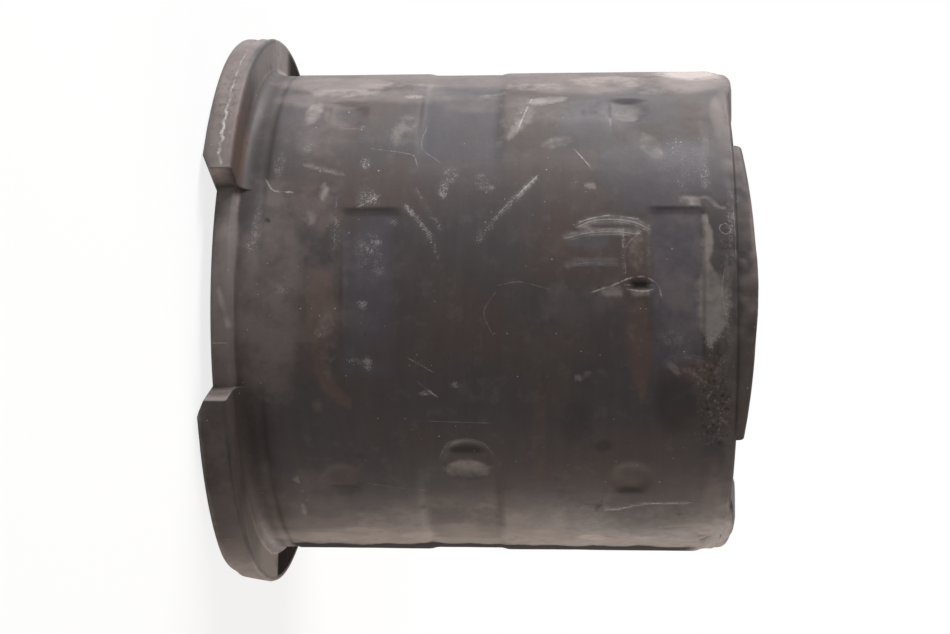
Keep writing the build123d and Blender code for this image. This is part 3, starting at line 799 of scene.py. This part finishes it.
def rubber_geometry():
    """Points in mm, faces, the fields of wear, dirt, painted light and painted shade, and the mask of the
    dark backs that take the painted-shade material, all of the rubber's mesh.
    """
    th, lug, tongue = make_columns()
    rho, z, names = Section(th, lug, tongue).grid()
    angle = np.radians(th)[:, None]
    turn = angle_from(VIEW_DIRECTION - th[:, None] + 0 * rho, 0.0)
    skin = np.isin(names, ("skin", "rim", "neck"))
    rho[:, skin] -= skin_depth(turn[:, skin], z[:, skin])
    surface = Surface(turn, z, names, lug[:, None])
    fields = wear_and_painted_light_fields(surface)
    rho += wear_relief(points_at(rho, angle, z), surface, fields)

    index = np.arange(rho.size).reshape(rho.shape)
    in_void = np.abs(from_nearer(th, -90)) <= VOID_HALF + 1e-6
    void_rows = [np.flatnonzero(names == name) for name in ("void_out", "void_in")]
    points = [points_at(rho, angle, z).reshape(-1, 3)]
    faces = [skin_faces(index, in_void, void_rows)]
    add_void_walls(points, faces, th, index, void_rows)
    shaded = ((turn > SHADED_FROM) | (turn < SHADED_BELOW)) & (names == "back_face")
    return np.concatenate(points), np.concatenate(faces), fields, shaded.ravel()


# ---- mesh and materials ----


def build_rubber():
    points, faces, fields, shaded = rubber_geometry()
    mesh = bpy.data.meshes.new("rubber_moulding")
    mesh.vertices.add(len(points))
    mesh.vertices.foreach_set("co", (points * MM).ravel())
    mesh.loops.add(faces.size)
    mesh.loops.foreach_set("vertex_index", faces.ravel())
    mesh.polygons.add(len(faces))
    mesh.polygons.foreach_set("loop_start", np.arange(0, faces.size, 4))
    mesh.polygons.foreach_set("loop_total", np.full(len(faces), 4))
    mesh.update(calc_edges=True)
    # the fields and the mask cover the section's points, which come before those of the void walls
    rest = len(points) - len(shaded)
    # faces of the lugs' far backs take the second material, which is painted shade
    dark = np.pad(shaded, (0, rest))[faces].all(axis=1)
    mesh.polygons.foreach_set("material_index", dark.astype(np.int32))
    mesh.validate()
    mesh.shade_smooth()
    mesh.set_sharp_from_angle(angle=math.radians(SHARP_ANGLE))
    for name, field in fields.items():
        values = np.pad(field.ravel(), (0, rest)).astype(np.float32)
        mesh.attributes.new(name, "FLOAT", "POINT").data.foreach_set("value", values)
    obj = bpy.data.objects.new("rubber_moulding", mesh)
    scene.collection.objects.link(obj)
    return obj


class Nodes:
    """Short names for the nodes of one material or world."""

    def __init__(self, owner, out="OutputMaterial"):
        self.owner = owner
        owner.use_nodes = True
        self.tree = owner.node_tree
        self.tree.nodes.clear()
        self.out = self.add(out)

    def add(self, kind, inputs=(), **settings):
        """A node with these values or links in its inputs, given as pairs of name or number and value."""
        node = self.tree.nodes.new("ShaderNode" + kind)
        for key, value in settings.items():
            setattr(node, key, value)
        for key, value in inputs:
            self.put(node.inputs[key], value)
        return node

    def put(self, socket, value):
        if isinstance(value, bpy.types.NodeSocket):
            self.tree.links.new(value, socket)
        elif isinstance(value, tuple) and len(value) == 3 and socket.type == "RGBA":
            socket.default_value = (*value, 1.0)
        else:
            socket.default_value = value

    def math(self, operation, *values):
        return self.add("Math", enumerate(values), operation=operation).outputs[0]

    def mul(self, a, b):
        return self.math("MULTIPLY", a, b)

    def madd(self, a, b, c):
        return self.math("MULTIPLY_ADD", a, b, c)

    def rough_up(self, value, lumps, amount):
        """The value moved up and down by noise, whose middle is 0.5."""
        return self.madd(self.math("SUBTRACT", lumps, 0.5), amount, value)

    def step(self, value, low, high, start=0.0, end=1.0):
        """Smooth rise from start to end while value goes from low to high."""
        inputs = (("Value", value), ("From Min", low), ("From Max", high), ("To Min", start), ("To Max", end))
        return self.add("MapRange", inputs, interpolation_type="SMOOTHSTEP").outputs["Result"]

    def mix(self, share, a, b):
        """Colour a, with this share of colour b; sockets 6 and 7 are the colours."""
        return self.add("Mix", ((0, share), (6, a), (7, b)), data_type="RGBA").outputs[2]

    def paint(self, colour, share, strength=None):
        """Cover the colour so far with this share of another, times a strength if one is given."""
        self.colour = self.mix(share if strength is None else self.mul(share, strength), self.colour, colour)

    def attribute(self, name):
        return self.add("Attribute", attribute_name=name).outputs["Fac"]

    def place(self, stretch=(1.0, 1.0, 1.0)):
        """Position on the object in mm, stretched along its axes."""
        inputs = ((0, self.add("TexCoord").outputs["Object"]), (1, tuple(v / MM for v in stretch)))
        return self.add("VectorMath", inputs, operation="MULTIPLY").outputs[0]

    def noise(self, place, size, detail=2.0, rough=0.5):
        """Noise from about 0.25 to 0.75 in lumps of this size in mm."""
        inputs = (("Vector", place), ("Scale", 1.0 / size), ("Detail", detail), ("Roughness", rough))
        return self.add("TexNoise", inputs).outputs["Fac"]

    def grains(self, place, size, radius, share):
        """Small round grains: over 0 inside a grain, in this share of the cells."""
        cells = self.add("TexVoronoi", (("Vector", place), ("Scale", 1.0 / size)))
        split = self.add("SeparateColor", ((0, cells.outputs["Color"]),)).outputs
        chosen = self.mul(self.math("LESS_THAN", split["Red"], share), self.madd(split["Blue"], 0.7, 0.3))
        wide = self.mul(split["Green"], radius)
        return self.mul(chosen, self.math("LESS_THAN", cells.outputs["Distance"], wide))

    def surface(self, roughness, height, relief, **fixed):
        """The material in the colour so far, with bumps of this height in metres."""
        bump = self.add("Bump", (("Height", height), ("Distance", relief))).outputs[0]
        inputs = [("Base Color", self.colour), ("Roughness", roughness), ("Normal", bump)]
        inputs += [(name.replace("_", " "), value) for name, value in fixed.items()]
        self.put(self.out.inputs[0], self.add("BsdfPrincipled", inputs).outputs[0])
        return self.owner

    def seen(self):
        """1 for the rays that show a backdrop itself, 0 for the light that it throws on the object."""
        rays = self.add("LightPath").outputs
        shown = self.math("MAXIMUM", rays["Is Camera Ray"], rays["Is Glossy Ray"])
        return self.math("MAXIMUM", shown, rays["Is Transmission Ray"])

    def blend(self, share, a, b):
        """Shader a with this share of shader b; each is given as its kind and its inputs."""
        inputs = ((0, share), (1, self.add(*a).outputs[0]), (2, self.add(*b).outputs[0]))
        self.put(self.out.inputs[0], self.add("MixShader", inputs).outputs[0])


def material_nodes(name):
    return Nodes(bpy.data.materials.new(name))


def paint_bare_rubber(n, place, clouds, patches, streaks):
    """Clean rubber: browner in some clouds and greyer in others, with streaks and smudges."""
    smudges = n.noise(place, 2.3, 4.0, 0.58)
    n.colour = (0.047, 0.0415, 0.044)
    n.paint((0.058, 0.0435, 0.0395), n.step(clouds, 0.36, 0.64))
    n.paint((0.061, 0.0505, 0.049), n.step(streaks, 0.3, 0.7, 0.0, 0.5))
    n.paint((0.08, 0.069, 0.068), n.step(patches, 0.56, 0.74, 0.0, 0.22))
    n.paint((0.096, 0.084, 0.085), n.step(smudges, 0.54, 0.7, 0.0, 0.26))
    n.paint((0.032, 0.027, 0.027), n.step(smudges, 0.45, 0.32, 0.0, 0.14))


def rubber_material():
    """Worn rubber, with each kind of wear, dirt, painted light and painted shade where its field says."""
    n = material_nodes("worn_rubber")
    place = n.place()
    clouds, patches = n.noise(place, 11.0, 3.0), n.noise(place, 4.2, 4.0)
    crumbs, fine = n.noise(place, 1.1, 4.0, 0.6), n.noise(place, 0.28, 2.0)
    streaks = n.noise(n.place((0.13, 0.13, 1.0)), 1.3, 3.0, 0.6)

    def broken(name, small, large, low, high):
        """A wear field, its edge broken up by small and large lumps."""
        return n.step(n.rough_up(n.rough_up(n.attribute(name), crumbs, small), patches, large), low, high)

    cool = broken("cool", 0.3, 0.6, 0.1, 0.95)
    stain = broken("stain", 0.7, 0.7, 0.15, 0.9)
    dust_and_light = broken("dust_and_light", 0.45, 1.1, 0.02, 1.1)
    pale = broken("pale", 0.9, 0.9, 0.15, 0.95)
    # the pale colour, lighter where the field passes 1; on the low lug's back and the high lug's end wall
    # this is painted light
    powder = n.mix(n.step(patches, 0.4, 0.62), (0.19, 0.167, 0.155), (0.24, 0.212, 0.2))
    powder = n.mix(n.step(n.attribute("pale"), 1.0, 1.7), powder, (0.37, 0.328, 0.305))
    paint_bare_rubber(n, place, clouds, patches, streaks)
    n.paint((0.0585, 0.054, 0.0652), cool, 0.7)
    n.paint((0.086, 0.057, 0.047), stain, 0.75)
    # dust, and painted light along the high and low sides and on the high lug's end wall
    n.paint((0.165, 0.139, 0.132), dust_and_light, 0.85)
    n.paint(powder, pale, 0.8)
    # painted light: the high lug's end wall faces away from the key lamp and is made light tan as if lit
    n.paint((0.5, 0.38, 0.32), n.attribute("painted_light_end"), 0.9)

    # chalky rubbing: fine stipple, and single pale grains and pits everywhere
    chalk = n.attribute("chalk")
    stipple = n.madd(chalk, 0.3, n.madd(crumbs, 0.45, n.mul(n.noise(place, 0.17, 1.0), 0.55)))
    stipple = n.step(stipple, 0.6, 0.78)
    n.paint((0.12, 0.108, 0.106), chalk, 0.22)
    n.paint((0.31, 0.292, 0.28), n.mul(stipple, chalk), 0.85)
    specks = n.grains(place, 0.42, 0.24, n.madd(chalk, 0.25, n.step(clouds, 0.42, 0.6, 0.012, 0.065)))
    n.paint((0.4, 0.37, 0.35), specks, 0.7)
    n.paint((0.015, 0.013, 0.013), n.grains(place, 0.7, 0.2, 0.025), 0.7)

    # pitted places: light crumbs and dark holes
    pitted, torn = n.attribute("pitted"), n.noise(place, 0.6, 3.0, 0.68)
    n.paint((0.2, 0.18, 0.165), pitted, n.step(torn, 0.56, 0.66, 0.0, 0.6))
    holes = n.mul(pitted, n.step(torn, 0.45, 0.38, 0.0, 0.8))
    n.paint((0.022, 0.019, 0.018), holes)

    # scuffs: streaks that run along each stroke
    scuff = n.attribute("scuff_power")
    inputs = (("W", n.madd(crumbs, 0.5, n.attribute("scuff_side"))), ("Scale", 5.5), ("Detail", 2.0))
    thread = n.add("TexNoise", inputs, noise_dimensions="1D").outputs["Fac"]
    streaked = n.rough_up(n.madd(scuff, 0.28, thread), crumbs, 0.9)
    streaked = n.mul(n.step(streaked, 0.5, 0.9, 0.2, 1.0), scuff)
    n.paint((0.3, 0.28, 0.272), streaked, 0.75)

    # thin lines, broken by the fine noise
    reach = n.rough_up(n.math("ABSOLUTE", n.attribute("line_side")), fine, 2.8)
    line = n.mul(n.step(reach, 1.5, 0.3), n.attribute("line_power"))
    line = n.mul(line, n.step(crumbs, 0.36, 0.62, 0.1, 1.0))
    n.paint((0.4, 0.375, 0.355), line, 0.62)

    # dirt and painted shade, both painted near black: shade in the neck, on the lugs' far backs, along the
    # underside and in the walls of slots, dimples, band and vent
    grime_and_shade = n.math("MAXIMUM", n.attribute("grime_and_shade"), n.mul(broken("painted_underside_shade", 0.8, 1.8, 0.1, 0.95), 0.95))
    n.paint((0.009, 0.008, 0.008), grime_and_shade, 0.95)

    rough = n.rough_up(n.madd(dust_and_light, 0.12, 0.47), crumbs, 0.22)
    rough = n.madd(grime_and_shade, 0.6, n.madd(cool, -0.05, n.madd(pale, 0.1, rough)))
    height = n.madd(streaks, 0.35, n.madd(crumbs, 0.7, n.mul(fine, 0.3)))
    height = n.madd(line, 0.5, n.madd(stipple, n.mul(chalk, 0.5), height))
    height = n.madd(holes, -2.0, height)
    return n.surface(rough, height, 0.000028, Specular_IOR_Level=0.12)


def cloudy_material(name, dark, light, grain_size, grain_share, rough, relief, **fixed):
    """A colour from dark to light in clouds, with fine grain in its roughness and bumps."""
    n = material_nodes(name)
    place = n.place()
    clouds, grain = n.noise(place, 5.0, 4.0), n.noise(place, grain_size, 3.0, 0.6)
    n.colour = n.mix(n.step(clouds, 0.35, 0.65), dark, light)
    return n.surface(n.madd(grain, grain_share, rough), grain, relief, **fixed)


def shaded_rubber_material():
    """Matt dark rubber: painted shade on the lugs' far backs, where the body's shadow falls."""
    return cloudy_material("shaded_rubber", (0.02, 0.0165, 0.0155), (0.036, 0.029, 0.026),
                           0.9, 0.2, 0.8, 0.00004, Specular_IOR_Level=0.01)


def sleeve_material():
    """Plain turned steel with a dull film, and rust in its hollows."""
    n = material_nodes("turned_steel")
    place = n.place()
    rings = n.noise(n.place((0.15, 0.15, 1.0)), 0.22, 2.0)
    clouds, crumbs = n.noise(place, 6.0, 4.0), n.noise(place, 0.9, 4.0, 0.6)
    rust = n.step(n.madd(crumbs, 0.6, clouds), 0.82, 1.05)
    n.colour = n.mix(n.step(rings, 0.35, 0.65), (0.33, 0.32, 0.31), (0.43, 0.42, 0.4))
    n.paint((0.24, 0.225, 0.21), n.step(clouds, 0.4, 0.7, 0.0, 0.4))
    n.paint((0.15, 0.08, 0.045), rust, 0.7)
    height = n.madd(rings, 0.4, n.mul(crumbs, rust))
    return n.surface(n.madd(rust, 0.4, 0.36), height, 0.00005, Metallic=0.85, Specular_IOR_Level=0.4)


def cage_material():
    """Phosphated sheet steel of the reinforcing sleeve inside the rubber."""
    return cloudy_material("phosphated_steel", (0.1, 0.1, 0.102), (0.16, 0.16, 0.158),
                           0.35, 0.3, 0.42, 0.00003, Metallic=0.6, Specular_IOR_Level=0.4)


rubber = build_rubber()
rubber.data.materials.append(rubber_material())
rubber.data.materials.append(shaded_rubber_material())
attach(rubber, "root")
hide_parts("rubber_body")
for name, steel in (("inner_sleeve", sleeve_material()), ("outer_sleeve", cage_material())):
    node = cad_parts[name]
    node.data.materials.clear()
    node.data.materials.append(steel)

# ---- floor, backdrop and light, in metres ----

WHITE = (1, 1, 1)
PAPER = (0.9, 0.9, 0.9)
FLOOR_HALF = 1.6
FADE_FROM, FADE_TO = 0.09, 0.28  # the floor turns to plain white this far from the object
WORLD_LIGHT = 0.28


def add_floor():
    """White floor that keeps the object's shadow near it."""
    mesh = bpy.data.meshes.new("floor")
    corners = [(x * FLOOR_HALF, y * FLOOR_HALF, 0) for x, y in ((-1, -1), (1, -1), (1, 1), (-1, 1))]
    mesh.from_pydata(corners, [], [(0, 1, 2, 3)])
    obj = bpy.data.objects.new("floor", mesh)
    scene.collection.objects.link(obj)
    n = material_nodes("white_floor")
    place = n.add("TexCoord").outputs["Object"]
    reach = n.add("VectorMath", ((0, place),), operation="LENGTH").outputs["Value"]
    share = n.mul(n.seen(), n.step(reach, FADE_FROM, FADE_TO, 0.8, 1.0))
    paper = ("BsdfDiffuse", (("Color", PAPER),))
    n.blend(share, paper, ("Emission", (("Color", WHITE), ("Strength", 1.0))))
    mesh.materials.append(n.owner)


def add_world():
    """Dim light from all round, seen as white."""
    scene.world = bpy.data.worlds.new("studio")
    n = Nodes(scene.world, "OutputWorld")
    light, white = (("Background", (("Color", WHITE), ("Strength", s))) for s in (WORLD_LIGHT, 1.0))
    n.blend(n.seen(), light, white)


def add_light(name, place, power, colour):
    """Square lamp that points at the middle of the part."""
    data = bpy.data.lights.new(name, "AREA")
    data.shape = "RECTANGLE"
    data.size = data.size_y = 0.4
    data.energy = power
    data.color = colour
    obj = bpy.data.objects.new(name, data)
    obj.location = place
    obj.rotation_mode = "QUATERNION"
    obj.rotation_quaternion = (Vector((0, 0, 0.033)) - Vector(place)).to_track_quat("-Z", "Y")
    scene.collection.objects.link(obj)


add_floor()
add_world()
add_light("key", (-0.54, -0.06, 0.2), 7.6, WHITE)
add_light("fill", (0.44, 0.25, 0.15), 2.5, (1.0, 0.84, 0.71))

# ---- camera, at the photograph's viewpoint ----

EYE_AWAY, EYE_BELOW, EYE_ALONG = 215.0, 0.784, 44.19  # from the bolt axis, under it in the picture, along it
YAW = 3.49
FOCAL_PIXELS, PICTURE_WIDTH, SENSOR = 1535.6, 950, 36.0


def add_camera():
    """Camera that sees the bolt axis level, turned by YAW towards the flange."""
    turn, yaw = math.radians(VIEW_DIRECTION + 90), math.radians(YAW)
    depth, up = Vector((-math.sin(turn), math.cos(turn), 0)), Vector((-math.cos(turn), -math.sin(turn), 0))
    along = Vector((0, 0, 1))
    eye = (-EYE_AWAY * depth - EYE_BELOW * up + EYE_ALONG * along) * MM
    forward = math.cos(yaw) * depth - math.sin(yaw) * along
    right = math.cos(yaw) * along + math.sin(yaw) * depth
    data = bpy.data.cameras.new("camera")
    data.sensor_width = SENSOR
    data.lens = FOCAL_PIXELS / PICTURE_WIDTH * SENSOR
    data.clip_start, data.clip_end = 0.01, 20.0
    camera = bpy.data.objects.new("camera", data)
    camera.matrix_world = Matrix([*zip(right, up, -forward, eye), (0, 0, 0, 1)])
    scene.collection.objects.link(camera)
    scene.camera = camera


add_camera()
scene.view_settings.view_transform = "Standard"
